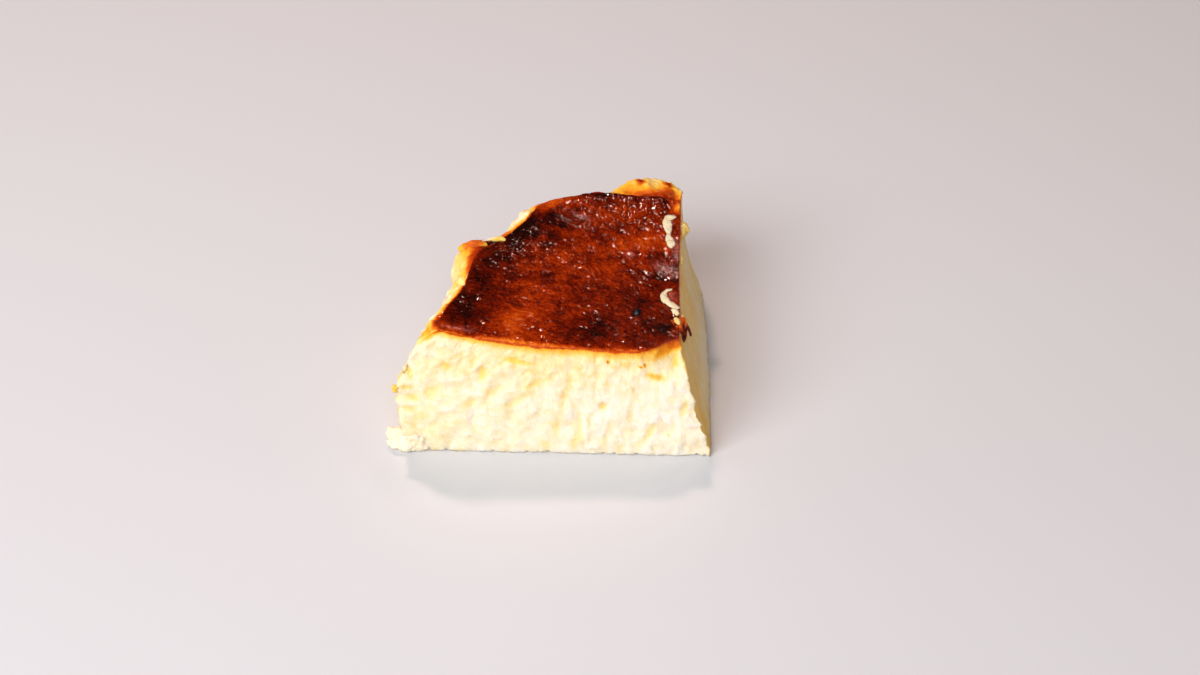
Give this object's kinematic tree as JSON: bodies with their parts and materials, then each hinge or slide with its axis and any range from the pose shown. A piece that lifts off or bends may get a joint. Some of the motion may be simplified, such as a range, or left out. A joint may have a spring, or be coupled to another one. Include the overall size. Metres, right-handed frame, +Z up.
{
  "type": "burnt cheesecake slice",
  "caption": "Wedge cut from a round burnt cheesecake, with a glossy dark browned skin, pale curdy cut faces and a pleated golden outer wall.",
  "frame": {"origin": "middle of the slice's bounding box in plan, on the flat face it rests on", "axes": "+Z up from the resting face to the browned skin; +X along the straight foot of the front cut, from the outer wall towards the tip; +Y along the right cut, from the tip towards the outer wall"},
  "size_m": [0.0956, 0.0942, 0.0431],
  "materials": {
    "cheesecake": "moist creamy curd inside, with a glossy dark brown baked skin on top and golden browning on the outer wall"
  },
  "bodies": {
    "root": {"cheesecake": "cheesecake"}
  },
  "joints": []
}
